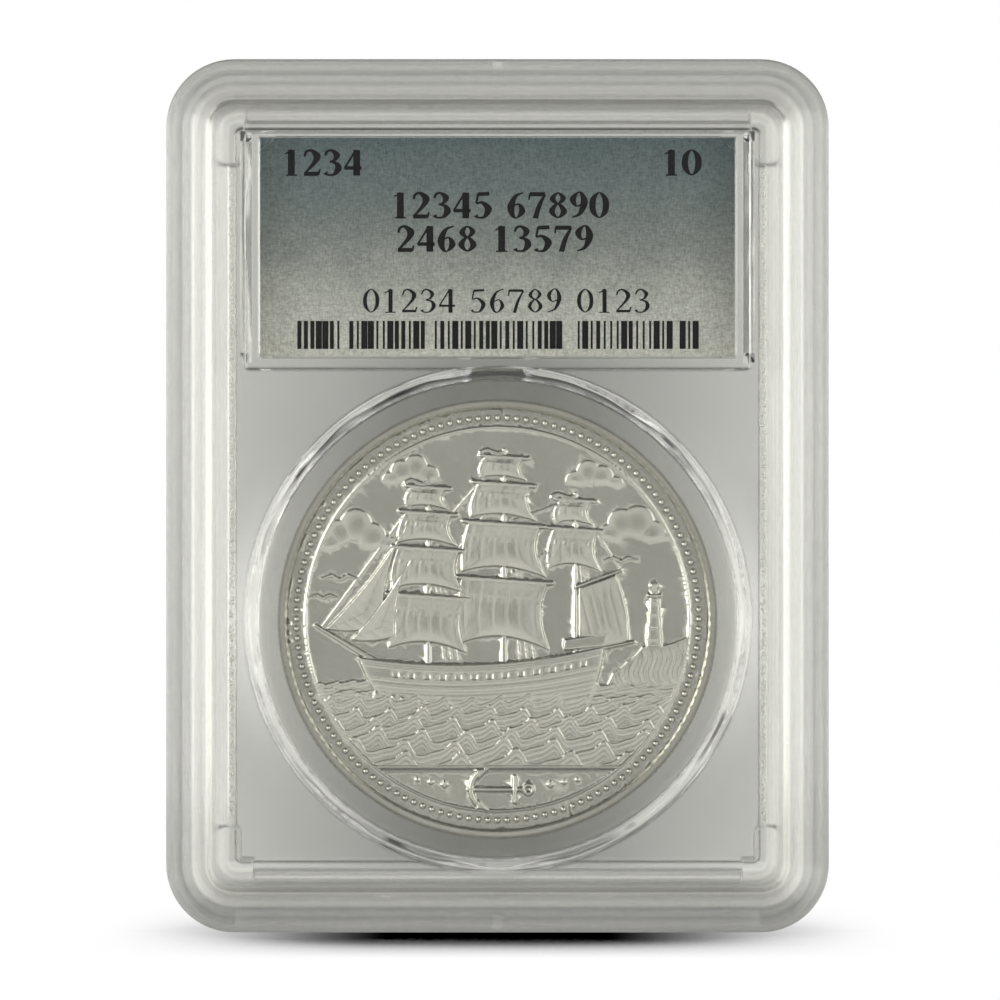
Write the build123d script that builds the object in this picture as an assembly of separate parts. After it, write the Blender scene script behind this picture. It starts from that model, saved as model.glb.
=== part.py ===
from build123d import *
from math import cos, pi, sin
import os

# Graded coin slab: a sealed, clear polystyrene case that stands on its lower edge.
# Two moulded half shells are welded together round a coin, which a soft clear ring holds,
# and a paper label. All lengths are in millimetres. X is the width, Z is up and Y is the
# depth, with the front face towards -Y. The origin is the middle of the lower edge.

# Case
slab_width = 61.2
slab_height = 80.6
slab_thickness = 7.9
corner_radius = 6.3
edge_round = 1.0          # outer edges, front and rear
window_wall = 1.2         # thickness of the front and rear windows
seam_gap = 0.1            # hairline seam that shows between the two shells
fit_gap = 0.05            # assembly clearance between neighbouring pieces

# Front stacking rim: a raised border with a sloped inner side
rim_width = 3.7           # from the outer edge to the top of the slope
rim_slope = 0.6           # width of the slope
rim_step = 0.6            # height of the rim above the front window

# Rear stacking ridge: nests inside the front rim of the next slab
ridge_inset = 4.6
ridge_width = 1.7
ridge_radius = 2.3        # corners, at the ridge's outer side
ridge_round = 0.3

# Perimeter walls inside the case
outer_wall = 1.8
tongue_width = 0.85       # lap weld: a tongue of the front shell in a rabbet of the rear shell
tongue_length = 0.9
inner_wall_inset = 4.8
inner_wall = 0.9
inner_wall_radius = 2.2
draft = 0.18              # how far each side of a moulded wall leans from its root to its tip

# L-shaped corner posts of the rear shell
post_leg = 2.0            # width of the upright leg
post_bar = 1.9            # height of the level leg
post_height = 4.9
post_reach = 3.2          # level leg of the two lower posts
post_round = 0.6

# Coin
coin_radius = 20.3
coin_thickness = 2.98
coin_rim = 0.6            # width of the raised rim's flat top
coin_rim_slope = 0.25     # width of its sloped inner side
coin_recess = 0.42        # depth of the field below the rim
reed_count = 200
reed_depth = 0.09

# Coin ring and its round seat
ring_wall = 1.75          # from the coin's edge to the ring's outside
ring_lip = 0.18           # how far each lip reaches over the coin's edge
ring_shoulder = 0.65      # width of the stepped-down outer border
ring_drop = 0.5           # depth of that step
seat_wall = 1.3           # round wall of the shells that holds the ring
seat_merge = 0.25         # how far the round wall runs into the inner wall below it

# Label, its pocket and the foil behind it
label_side = 8.6          # from the case's sides to the label's
label_top = 7.15          # from the case's upper edge to the label's
label_gap = 0.75          # from the round wall up to the label
label_thickness = 0.3
pocket_side = 1.2
pocket_base = 1.0
pocket_top = 0.35
web_leg = 1.5             # small triangles that keep the label's corners back
bed_lap = 0.9             # how far the rear bed reaches in under the label
foil_side = 9.0           # from the label's sides to the foil's
foil_end = 3.7            # from the label's upper and lower edges to the foil's
foil_thickness = 0.1
foil_round = 1.0

# Gate scars at the middle of the upper and lower edges
gate_width = 0.9
gate_height = 1.4
gate_sink = 0.25

# Worked out from the sizes above
front_y = -slab_thickness / 2
rear_y = slab_thickness / 2
front_window_y = front_y + rim_step
rear_window_y = rear_y - rim_step
front_inner_y = front_window_y + window_wall
rear_inner_y = rear_window_y - window_wall
front_seam_y = -seam_gap / 2
rear_seam_y = seam_gap / 2
slab_middle = slab_height / 2
ring_outer = coin_radius + fit_gap + ring_wall
seat_inner = ring_outer + fit_gap
seat_outer = seat_inner + seat_wall
coin_height = inner_wall_inset + inner_wall - seat_merge + seat_outer
label_base = coin_height + seat_outer + label_gap
label_width = slab_width - 2 * label_side
label_height = slab_height - label_top - label_base
label_middle = label_base + label_height / 2
label_front_y = -label_thickness / 2
label_rear_y = label_thickness / 2
pocket_width = label_width + 2 * fit_gap
pocket_height = label_height + 2 * fit_gap


def between(sketch, front, rear):
    """A sketch drawn in X and Z, as a solid from depth front to depth rear."""
    return extrude(Plane.XZ.offset(-rear) * sketch, amount=rear - front)


def rounded(inset, radius):
    """A rounded rectangle whose sides lie inset from the case's edges."""
    shape = RectangleRounded(slab_width - 2 * inset, slab_height - 2 * inset, radius)
    return Pos(0, slab_middle) * shape


def outline(inset):
    """The case's own outline, taken in by inset on every side."""
    return rounded(inset, corner_radius - inset)


def disc(radius):
    return Pos(0, coin_height) * Circle(radius)


def tapered(root, tip, root_y, tip_y):
    """A solid that runs from the sketch root at depth root_y to the sketch tip at depth tip_y."""
    return loft([Plane.XZ.offset(-root_y) * root, Plane.XZ.offset(-tip_y) * tip])


def inner_frame(root_y, tip_y):
    """The inner wall of one shell, with draft on both sides."""
    inside = inner_wall_inset + inner_wall
    inside_radius = inner_wall_radius - inner_wall
    outer_root = rounded(inner_wall_inset, inner_wall_radius)
    outer_tip = rounded(inner_wall_inset + draft, inner_wall_radius - draft)
    inner_root = rounded(inside, inside_radius)
    inner_tip = rounded(inside - draft, inside_radius + draft)
    return tapered(outer_root, outer_tip, root_y, tip_y) - tapered(inner_root, inner_tip, root_y, tip_y)


def round_wall(root_y, tip_y):
    """The outside of one shell's round wall. The space for the ring is cut later."""
    return tapered(disc(seat_outer), disc(seat_outer - draft), root_y, tip_y)


def ring_space(root_y, tip_y):
    """The space inside one shell's round wall, with draft."""
    return tapered(disc(seat_inner), disc(seat_inner + draft), root_y, tip_y)


def edges_at(solid, depth):
    """The edges that lie wholly in the plane at a depth."""
    return solid.edges().filter_by_position(Axis.Y, depth, depth)


def post_sketch(side, level, clearance):
    """One corner post. side is -1 or 1, level is -1 for a lower post and 1 for an upper one."""
    right = slab_width / 2 - inner_wall_inset
    top = slab_middle - inner_wall_inset
    upper_reach = right - pocket_width / 2 - pocket_side - 2 * fit_gap
    left = right - (upper_reach if level > 0 else post_reach)
    foot = top - post_height
    corners = [
        (right, top),
        (right, foot),
        (right - post_leg, foot),
        (right - post_leg, top - post_bar),
        (left, top - post_bar),
        (left, top),
    ]
    shape = make_face(Polyline(*corners, close=True))
    shape = fillet(shape.vertices().sort_by(Axis.Y)[:2], post_round)
    outer_corner = [v for v in shape.vertices() if v.X > right - 1e-6 and v.Y > top - 1e-6]
    shape = fillet(outer_corner, inner_wall_radius)
    if clearance:
        shape = offset(shape, clearance)
    if side < 0:
        shape = mirror(shape, about=Plane.YZ)
    if level < 0:
        shape = mirror(shape, about=Plane.XZ)
    return Pos(0, slab_middle) * shape


def all_posts(clearance=0.0):
    """The outlines of the four corner posts, or of the notches that clear them."""
    return [post_sketch(side, level, clearance) for side in (-1, 1) for level in (-1, 1)]


def pocket_outline():
    """The outer outline of the label pocket."""
    shape = Rectangle(pocket_width + 2 * pocket_side, pocket_height + pocket_base + pocket_top)
    return Pos(0, label_middle + (pocket_top - pocket_base) / 2) * shape


def pocket_webs():
    """Four small triangles across the pocket's inner corners."""
    webs = []
    for side in (-1, 1):
        for level in (-1, 1):
            x = side * pocket_width / 2
            z = label_middle + level * pocket_height / 2
            corners = [(x, z), (x - side * web_leg, z), (x, z - level * web_leg)]
            webs.append(make_face(Polyline(*corners, close=True)))
    return webs


def make_front_shell():
    shell = between(outline(0), front_y, front_seam_y)
    shell = fillet(edges_at(shell, front_y), edge_round)
    rim_top = Plane.XZ.offset(-front_y) * outline(rim_width)
    rim_foot = Plane.XZ.offset(-front_window_y) * outline(rim_width + rim_slope)
    shell -= loft([rim_top, rim_foot])
    shell -= tapered(outline(outer_wall + draft), outline(outer_wall), front_inner_y, front_seam_y)
    tongue = outline(outer_wall - tongue_width) - outline(outer_wall)
    shell += between(tongue, front_seam_y - tongue_width, tongue_length)

    pocket = pocket_outline() - Pos(0, label_middle) * Rectangle(pocket_width, pocket_height)
    walls = inner_frame(front_inner_y, front_seam_y)
    walls += round_wall(front_inner_y, front_seam_y)
    walls += between(pocket, front_inner_y, label_rear_y)
    for web in pocket_webs():
        walls += between(web, front_inner_y, label_front_y - fit_gap)
    for notch in all_posts(2 * fit_gap):
        walls -= between(notch, front_inner_y, label_rear_y)
    walls -= ring_space(front_inner_y, label_rear_y)
    shell += walls

    for z in (edge_round, slab_height - edge_round):
        shell -= Pos(0, front_y, z) * Box(gate_width, 2 * gate_sink, gate_height)
    return shell


def make_rear_shell():
    shell = between(outline(0), rear_seam_y, rear_window_y)
    shell = fillet(edges_at(shell, rear_window_y), edge_round)
    ridge_ring = rounded(ridge_inset, ridge_radius) - rounded(ridge_inset + ridge_width, ridge_radius - ridge_width)
    ridge = between(ridge_ring, rear_window_y, rear_y)
    shell += fillet(edges_at(ridge, rear_y), ridge_round)
    shell -= tapered(outline(outer_wall + draft), outline(outer_wall), rear_inner_y, 0)
    shell -= between(outline(outer_wall - tongue_width - fit_gap), 0, tongue_length)

    bed_window = Rectangle(pocket_width - 2 * bed_lap, pocket_height - 2 * bed_lap)
    bed = pocket_outline() - Pos(0, label_middle) * bed_window
    walls = inner_frame(rear_inner_y, rear_seam_y)
    walls += round_wall(rear_inner_y, rear_seam_y)
    walls -= between(pocket_outline(), rear_seam_y, label_rear_y + fit_gap)
    walls += between(bed, label_rear_y + fit_gap, rear_inner_y)
    for post in all_posts():
        walls += between(post, front_inner_y + fit_gap, rear_inner_y)
    walls -= ring_space(rear_inner_y, 0)
    return shell + walls


def make_coin():
    step = 2 * pi / reed_count
    points = []
    for reed in range(reed_count):
        for share, depth in ((0.0, reed_depth), (0.3, 0.0), (0.7, 0.0)):
            angle = (reed + share) * step
            radius = coin_radius - depth
            points.append((radius * cos(angle), coin_height + radius * sin(angle)))
    blank = make_face(Polyline(*points, close=True))
    half = coin_thickness / 2
    coin = between(blank, -half, half)
    field_radius = coin_radius - coin_rim
    for face, field in ((-half, coin_recess - half), (half, half - coin_recess)):
        mouth = Plane.XZ.offset(-face) * disc(field_radius)
        floor = Plane.XZ.offset(-field) * disc(field_radius - coin_rim_slope)
        coin -= loft([mouth, floor])
    return coin


def make_coin_ring():
    lip = coin_radius - ring_lip
    groove = coin_radius + fit_gap
    shoulder = ring_outer - ring_shoulder
    half = rear_inner_y - fit_gap
    groove_half = coin_thickness / 2 + fit_gap
    front_half = [
        (groove, -groove_half), (lip, -groove_half), (lip, -half), (shoulder, -half),
        (shoulder, ring_drop - half), (ring_outer, ring_drop - half),
    ]
    profile = front_half + [(radius, -depth) for radius, depth in reversed(front_half)]
    ring = revolve(make_face(Polyline(*profile, close=True)), Axis.Y)
    return Pos(0, 0, coin_height) * ring


def make_label():
    return between(Pos(0, label_middle) * Rectangle(label_width, label_height), label_front_y, label_rear_y)


def make_foil():
    width = label_width - 2 * foil_side
    height = label_height - 2 * foil_end
    patch = Pos(0, label_middle) * RectangleRounded(width, height, foil_round)
    return between(patch, label_rear_y, label_rear_y + foil_thickness)


os.makedirs("parts", exist_ok=True)
export_step(make_front_shell(), "parts/front_shell.step")
export_step(make_rear_shell(), "parts/rear_shell.step")
export_step(make_coin(), "parts/coin.step")
export_step(make_coin_ring(), "parts/coin_ring.step")
export_step(make_label(), "parts/label.step")
export_step(make_foil(), "parts/security_foil.step")
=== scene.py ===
import bpy
import bmesh
import math
import numpy as np
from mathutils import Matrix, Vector


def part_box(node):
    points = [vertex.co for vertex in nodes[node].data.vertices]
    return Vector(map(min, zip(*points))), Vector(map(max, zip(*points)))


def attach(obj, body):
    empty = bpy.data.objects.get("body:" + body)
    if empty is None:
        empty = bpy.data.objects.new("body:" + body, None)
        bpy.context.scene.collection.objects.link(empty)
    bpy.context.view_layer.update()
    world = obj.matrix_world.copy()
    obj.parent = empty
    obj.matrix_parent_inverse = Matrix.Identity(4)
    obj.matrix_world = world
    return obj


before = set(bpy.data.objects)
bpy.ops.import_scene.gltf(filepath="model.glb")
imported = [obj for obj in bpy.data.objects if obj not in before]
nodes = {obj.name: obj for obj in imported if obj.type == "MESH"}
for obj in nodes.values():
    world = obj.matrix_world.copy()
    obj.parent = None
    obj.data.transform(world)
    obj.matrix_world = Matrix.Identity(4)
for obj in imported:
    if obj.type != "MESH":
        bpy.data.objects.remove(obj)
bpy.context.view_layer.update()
scene = bpy.context.scene
mm = 0.001

caseLow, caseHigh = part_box("front_shell")[0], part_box("rear_shell")[1]
coinLow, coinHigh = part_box("coin")
labelLow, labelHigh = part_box("label")
caseMiddle = (caseLow.z + caseHigh.z) / 2
coinMiddle = (coinLow.z + coinHigh.z) / 2
labelMiddle = (labelLow.z + labelHigh.z) / 2
labelHalf = (labelHigh.z - labelLow.z) / 2
print("frame loaded, case", [round((b - a) / mm, 1) for a, b in zip(caseLow, caseHigh)], "mm")


# ---- small helpers for node trees and pieces
def feed(tree, node, feeds):
    for key, value in feeds.items():
        if isinstance(value, bpy.types.NodeSocket):
            tree.links.new(value, node.inputs[key])
        else:
            node.inputs[key].default_value = value
    return node


def addNode(tree, kind, feeds=(), **values):
    node = tree.nodes.new(kind)
    for key, value in values.items():
        setattr(node, key, value)
    return feed(tree, node, dict(feeds))


def newMaterial(name):
    material = bpy.data.materials.new(name)
    material.use_nodes = True
    tree = material.node_tree
    return material, tree, tree.nodes["Principled BSDF"]


def maths(tree, operation, *values, clamp=False):
    node = addNode(tree, "ShaderNodeMath", enumerate(values), operation=operation, use_clamp=clamp)
    return node.outputs[0]


def times(tree, a, b):
    return maths(tree, "MULTIPLY", a, b)


def plus(tree, a, b):
    return maths(tree, "ADD", a, b)


def minus(tree, a, b):
    return maths(tree, "SUBTRACT", a, b)


def absolute(tree, a):
    return maths(tree, "ABSOLUTE", a)


def hypotenuse(tree, a, b):
    return maths(tree, "SQRT", plus(tree, times(tree, a, a), times(tree, b, b)))


def vectorMaths(tree, operation, feeds):
    return addNode(tree, "ShaderNodeVectorMath", feeds, operation=operation).outputs[0]


def objectPlace(tree, scale=None):
    place = addNode(tree, "ShaderNodeTexCoord").outputs["Object"]
    if scale:
        place = addNode(tree, "ShaderNodeMapping", {"Vector": place, "Scale": scale}).outputs[0]
    return place, addNode(tree, "ShaderNodeSeparateXYZ", {0: place}).outputs


def noise(tree, place, scale, detail=2.0, rough=0.5):
    feeds = {"Vector": place, "Scale": scale, "Detail": detail, "Roughness": rough}
    return addNode(tree, "ShaderNodeTexNoise", feeds).outputs["Fac"]


def ramp(tree, value, stops):
    node = addNode(tree, "ShaderNodeValToRGB", {"Fac": value})
    while len(node.color_ramp.elements) < len(stops):
        node.color_ramp.elements.new(0.5)
    for element, (place, colour) in zip(node.color_ramp.elements, stops):
        element.position = place
        element.color = (*colour, 1) if isinstance(colour, tuple) else (colour, colour, colour, 1)
    return node.outputs["Color"]


def spread(tree, value, fromLow, fromHigh, toLow, toHigh, **values):
    feeds = {"Value": value, "From Min": fromLow, "From Max": fromHigh, "To Min": toLow, "To Max": toHigh}
    return addNode(tree, "ShaderNodeMapRange", feeds, **values).outputs["Result"]


def blend(tree, share, first, second, **values):
    feeds = {"Factor": share, "A": first, "B": second}
    return addNode(tree, "ShaderNodeMix", feeds, data_type="RGBA", **values).outputs["Result"]


def bump(tree, height, distance, strength=1.0, under=None):
    feeds = {"Strength": strength, "Distance": distance, "Height": height}
    if under is not None:
        feeds["Normal"] = under
    return addNode(tree, "ShaderNodeBump", feeds).outputs["Normal"]


def showMix(tree, output, share, first, second):
    choice = addNode(tree, "ShaderNodeMixShader", {"Fac": share, 1: first, 2: second})
    tree.links.new(choice.outputs[0], tree.nodes[output].inputs["Surface"])


def letLampsIn(tree, shader, tint):
    ray = addNode(tree, "ShaderNodeLightPath")  # lamps reach the coin and the label through the clear plastic
    clear = addNode(tree, "ShaderNodeBsdfTransparent", {"Color": (*tint, 1)})
    showMix(tree, "Material Output", ray.outputs["Is Shadow Ray"], shader.outputs[0], clear.outputs[0])


def dress(name, material):
    nodes[name].data.materials.clear()
    nodes[name].data.materials.append(material)


def addObject(name, data):
    holder = bpy.data.objects.new(name, data)
    scene.collection.objects.link(holder)
    return holder


def settle(piece, smooth=True):
    if piece.modifiers:  # what the modifier makes becomes a plain mesh
        mesh = bpy.data.meshes.new_from_object(piece.evaluated_get(bpy.context.evaluated_depsgraph_get()))
        piece.modifiers.clear()
        piece.data = mesh
    count = len(piece.data.polygons)
    piece.data.polygons.foreach_set("use_smooth", [smooth] * count)
    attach(piece, "root")
    print(piece.name, count, "faces")


# ---- clear plastic case
caseLook = {
    "frontTint": (0.87, 0.87, 0.845),    # light lost in the front window
    "edgeTint": (0.70, 0.705, 0.675),    # and in the rear one, near the sides and in the middle, where its grey is painted shade that darkens towards the middle
    "shadedMiddleTint": (0.355, 0.36, 0.34),
    "borderTint": (0.975, 0.975, 0.935),
    "lampTint": (0.95, 0.95, 0.935),
    "ior": 1.59,                         # polystyrene
    "corner": 6.3 * mm,
    "border": 5.75 * mm,                 # width of the softly frosted border
    "frost": 0.95,                       # how far its fine ribs bend the light
    "rearFrost": 0.22,
    "ribScale": 90000.0,
    "outerFace": 2.6 * mm,               # only faces further out than this are frosted
    "edgeRound": 0.35 * mm,              # moulded edges of walls and posts
    "coinWall": (22.15 * mm, 23.45 * mm),
    "labelWall": (23.75 * mm, 22.75 * mm),
    "lipHeight": 0.9 * mm,
    "darkReflectionRing": 22.75 * mm,            # painted reflection: broken dark streaks along the round lip
    "darkReflectionScale": 4.0,
    "darkReflectionTint": (0.05, 0.05, 0.05),
    "clearTint": (0.98, 0.98, 0.96),     # in front of the coin and the label
    "clearRadius": 20.3 * mm,
    "paintedGlowRadius": 23.9 * mm,             # painted light: a glow painted on both sides of the round wall
    "paintedGlowWidth": 1.9 * mm,
    "paintedShadeReach": 26 * mm,
}
# inset from the outline in mm, strength of the ribs, share of clear plastic and the tint of painted shade
# there
borderBands = [
    (0.0, 0.50, 0.70, 1.00), (0.9, 0.95, 0.74, 1.00), (1.3, 0.80, 0.80, 0.93), (1.9, 0.95, 0.80, 1.00),
    (2.3, 0.80, 0.90, 0.88), (2.8, 0.55, 0.92, 0.88), (3.6, 0.70, 0.92, 0.80), (3.75, 0.20, 1.0, 0.98),
    (4.15, 0.30, 1.0, 0.90), (4.3, 0.80, 0.92, 0.70), (4.7, 0.45, 0.95, 0.80), (5.1, 0.30, 0.96, 0.90),
    (5.5, 0.30, 0.97, 0.86), (5.75, 0.20, 1.0, 0.86)]


def borderInset(tree, spec):
    place, (x, y, z) = objectPlace(tree)  # distance in from the case's outline
    halfWide, halfTall = caseHigh.x - spec["corner"], caseHigh.z - caseMiddle - spec["corner"]
    rise = minus(tree, z, caseMiddle)
    across = minus(tree, absolute(tree, x), halfWide)
    upward = minus(tree, absolute(tree, rise), halfTall)
    outX, outZ = maths(tree, "MAXIMUM", across, 0.0), maths(tree, "MAXIMUM", upward, 0.0)
    within = maths(tree, "MINIMUM", maths(tree, "MAXIMUM", across, upward), 0.0)
    reach = plus(tree, hypotenuse(tree, outX, outZ), within)
    outward = addNode(tree, "ShaderNodeCombineXYZ", {
        0: times(tree, outX, maths(tree, "SIGN", x)), 2: times(tree, outZ, maths(tree, "SIGN", rise))})
    unit = vectorMaths(tree, "NORMALIZE", {0: outward.outputs[0]})
    return place, (x, y, z), minus(tree, spec["corner"], reach), unit


def fineRibs(tree, place, outward, amount, under, spec):
    spot = vectorMaths(tree, "SCALE", {0: place, "Scale": spec["ribScale"]})
    chance = addNode(tree, "ShaderNodeTexWhiteNoise", {"Vector": spot}, noise_dimensions="3D")
    swing = maths(tree, "SINE", times(tree, chance.outputs["Value"], 2 * math.pi))
    tilt = vectorMaths(tree, "SCALE", {0: outward, "Scale": times(tree, swing, amount)})
    return vectorMaths(tree, "NORMALIZE", {0: vectorMaths(tree, "ADD", {0: under, 1: tilt})})


def coinRadius(tree, x, z):
    return hypotenuse(tree, x, minus(tree, z, coinMiddle))


def lipHeight(tree, reach, inner, outer):
    across = maths(tree, "DIVIDE", minus(tree, reach, inner), outer - inner)
    on = maths(tree, "LESS_THAN", absolute(tree, minus(tree, across, 0.5)), 0.5)
    fall = plus(tree, times(tree, across, 0.3), times(tree, across, across))
    return times(tree, minus(tree, 1.4, fall), on)


def wallLips(tree, x, z, radius, spec):
    beside = absolute(tree, minus(tree, z, labelMiddle))  # the straight lips run out at the label's ends
    beside = spread(tree, beside, labelHalf - 0.4 * mm, labelHalf + 0.5 * mm, 1.0, 0.0)
    straight = times(tree, lipHeight(tree, absolute(tree, x), *spec["labelWall"]), beside)
    return maths(tree, "MAXIMUM", lipHeight(tree, radius, *spec["coinWall"]), straight)


def mouldedEdges(tree, x, z, spec):
    soft = addNode(tree, "ShaderNodeBevel", {"Radius": spec["edgeRound"]}, samples=4)
    flat = addNode(tree, "ShaderNodeNewGeometry")  # edges stay sharp in front of the label
    wide = maths(tree, "LESS_THAN", absolute(tree, x), labelHigh.x - 0.1 * mm)
    tall = maths(tree, "LESS_THAN", absolute(tree, minus(tree, z, labelMiddle)), labelHalf - 0.1 * mm)
    feeds = {"Factor": times(tree, wide, tall), 4: soft.outputs[0], 5: flat.outputs["Normal"]}
    return addNode(tree, "ShaderNodeMix", feeds, data_type="VECTOR").outputs[1]


def windowShadeAndGlow(tree, place, x, z, radius, spec):
    # painted shade: the rear window is greyer towards its middle, away from the side lamps
    wide = absolute(tree, x)
    side = maths(tree, "DIVIDE", wide, spec["paintedShadeReach"], clamp=True)
    side = plus(tree, side, times(tree, minus(tree, noise(tree, place, 60.0), 0.5), 0.25))
    # painted light: the glow is strongest at the left and right of the round wall
    far = maths(tree, "DIVIDE", minus(tree, radius, spec["paintedGlowRadius"]), spec["paintedGlowWidth"])
    glow = maths(tree, "POWER", math.e, times(tree, times(tree, far, far), -1.0))
    level = maths(tree, "POWER", maths(tree, "DIVIDE", wide, radius, clamp=True), 14.0)
    side = plus(tree, side, times(tree, glow, level))
    overCoin = maths(tree, "LESS_THAN", radius, spec["clearRadius"])
    besideLabel = maths(tree, "GREATER_THAN", wide, labelHigh.x)
    overLabel = times(tree, maths(tree, "GREATER_THAN", z, labelLow.z), minus(tree, 1.0, besideLabel))
    side = maths(tree, "MAXIMUM", side, maths(tree, "MAXIMUM", overCoin, overLabel))
    stops = [(0.07, spec["shadedMiddleTint"]), (0.5, spec["edgeTint"]), (1.0, spec["clearTint"])]
    return ramp(tree, maths(tree, "DIVIDE", side, 2.0), stops)


def lipPaintedReflections(tree, x, z, radius, spec):
    # painted reflection: broken dark streaks along the round lip
    rise = maths(tree, "DIVIDE", minus(tree, z, coinMiddle), radius)
    turn = addNode(tree, "ShaderNodeCombineXYZ", {0: maths(tree, "DIVIDE", x, radius), 2: rise})
    broken = spread(tree, noise(tree, turn.outputs[0], spec["darkReflectionScale"], 1.0), 0.60, 0.66, 0.0, 1.0)
    level = absolute(tree, minus(tree, radius, spec["darkReflectionRing"]))
    return times(tree, broken, spread(tree, level, 0.12 * mm, 0.26 * mm, 1.0, 0.0))


def makeCasePlastic(name, spec, rear):
    material, tree, shader = newMaterial(name)
    place, (x, y, z), inset, outward = borderInset(tree, spec)
    radius = coinRadius(tree, x, z)
    frosted = maths(tree, "LESS_THAN", inset, spec["border"])
    outer = maths(tree, "GREATER_THAN", absolute(tree, y), spec["outerFace"])
    inside = minus(tree, 1.0, outer)
    onBorder = times(tree, frosted, outer)
    along = maths(tree, "DIVIDE", inset, spec["border"])
    bands, clear, shade = (
        ramp(tree, along, [(band[0] * mm / spec["border"], band[part]) for band in borderBands])
        for part in (1, 2, 3))
    milky = times(tree, minus(tree, 1.0, clear), onBorder)
    amount = times(tree, times(tree, bands, spec["rearFrost"] if rear else spec["frost"]), onBorder)

    # the walls round the coin and beside the label end in rounded lips
    lips = times(tree, wallLips(tree, x, z, radius, spec), inside)
    wander = spread(tree, noise(tree, place, 110.0, 1.0), 0.3, 0.7, 0.35, 1.0)
    raised = times(tree, lips, 0.0 if rear else wander)
    rounded = bump(tree, raised, spec["lipHeight"], 1.0, mouldedEdges(tree, x, z, spec))

    # painted shade: the rear window is greyer towards the middle; the border is clear but for the painted
    # shade of its bands
    edge = minus(tree, 1.0, times(tree, frosted, minus(tree, 1.0, shade)))
    border = vectorMaths(tree, "SCALE", {0: spec["borderTint"], "Scale": edge})
    window = windowShadeAndGlow(tree, place, x, z, radius, spec) if rear else (*spec["frontTint"], 1)
    onEdge = maths(tree, "MAXIMUM", frosted, maths(tree, "GREATER_THAN", lips, 0.0))
    tint = blend(tree, onEdge, window, border)
    # painted reflection: dark streaks laid over the front lip's tint
    if not rear:
        darkReflections = times(tree, lipPaintedReflections(tree, x, z, radius, spec), inside)
        tint = blend(tree, darkReflections, tint, (*spec["darkReflectionTint"], 1))
    feed(tree, shader, {
        "Base Color": tint, "IOR": spec["ior"], "Transmission Weight": minus(tree, 1.0, milky),
        "Roughness": times(tree, onBorder, 0.12),
        "Normal": fineRibs(tree, place, outward, amount, rounded, spec)})
    letLampsIn(tree, shader, spec["lampTint"])
    return material


ringLook = {"litSideTint": (0.93, 0.93, 0.91), "shadedMiddleTint": (0.76, 0.765, 0.74), "lampTint": (0.9, 0.9, 0.88),
            "ior": 1.5, "rough": 0.04}


def makeRingPlastic(spec):
    material, tree, shader = newMaterial("ringClear")
    place, (x, y, z) = objectPlace(tree)
    # painted shade: the ring is darker in its middle and lighter towards the lit left and right
    side = maths(tree, "DIVIDE", absolute(tree, x), coinHigh.x)
    feed(tree, shader, {
        "Base Color": ramp(tree, side, [(0.45, spec["shadedMiddleTint"]), (1.0, spec["litSideTint"])]),
        "IOR": spec["ior"], "Roughness": spec["rough"], "Transmission Weight": 1.0,
        "Normal": bump(tree, noise(tree, place, 220.0), 0.02 * mm, 0.4)})
    letLampsIn(tree, shader, spec["lampTint"])
    return material


dress("front_shell", makeCasePlastic("caseFront", caseLook, rear=False))
dress("rear_shell", makeCasePlastic("caseRear", caseLook, rear=True))
dress("coin_ring", makeRingPlastic(ringLook))
print("case and ring dressed")


# ---- coin relief: heights in mm over a square grid, x to the right and z up from the coin's centre
reliefGrid = {"reach": 19.6, "step": 0.08, "sink": 0.05, "lift": 0.012}
ledge = 0.22  # how far in from its outline a raised shape is rounded off


def gridPlaces(spec):
    ticks = np.arange(-spec["reach"], spec["reach"] + spec["step"] / 2, spec["step"])
    return np.meshgrid(ticks, ticks)


def bentOutline(corners, bends, steps=14):
    line = []  # each edge bows to the left of its run by a share of its length
    for (ax, az), (bx, bz), bow in zip(corners, corners[1:] + corners[:1], bends):
        mx, mz = (ax + bx) / 2 - (bz - az) * bow, (az + bz) / 2 + (bx - ax) * bow
        for s in np.arange(steps) / steps if bow else (0.0,):
            line.append(((1 - s) ** 2 * ax + 2 * s * (1 - s) * mx + s * s * bx,
                         (1 - s) ** 2 * az + 2 * s * (1 - s) * mz + s * s * bz))
    return line


def insideDepth(x, z, line):
    near = np.full(x.shape, 1e9)  # distance to a closed outline, positive inside it
    inside = np.zeros(x.shape, bool)
    for (ax, az), (bx, bz) in zip(line, line[1:] + line[:1]):
        ex, ez = bx - ax, bz - az
        t = np.clip(((x - ax) * ex + (z - az) * ez) / (ex * ex + ez * ez + 1e-12), 0, 1)
        near = np.minimum(near, np.hypot(x - ax - t * ex, z - az - t * ez))
        if abs(ez) > 1e-9:
            inside ^= ((az > z) != (bz > z)) & (x < ex * (z - az) / ez + ax)
    return np.where(inside, near, -near)


def barDepth(x, z, start, end, wideStart, wideEnd=None):
    (ax, az), (bx, bz) = start, end  # a straight bar, tapered from one half width to the other
    ex, ez = bx - ax, bz - az
    t = np.clip(((x - ax) * ex + (z - az) * ez) / (ex * ex + ez * ez), 0, 1)
    wide = wideStart + ((wideEnd if wideEnd is not None else wideStart) - wideStart) * t
    return wide - np.hypot(x - ax - t * ex, z - az - t * ez)


def shoulder(depth, width=ledge):
    t = np.clip(depth / width, 0, 1)
    return np.sqrt(1 - (1 - t) ** 2)


def lay(height, depth, top, drop=0.06, width=ledge):
    face = top - drop * (1 - shoulder(depth, width))  # full height inside, rounded off by drop at its edge
    return np.where(depth > 0, face, height)


def groove(distance, width, deep):
    return -deep * np.exp(-(distance / width) ** 2)


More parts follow.
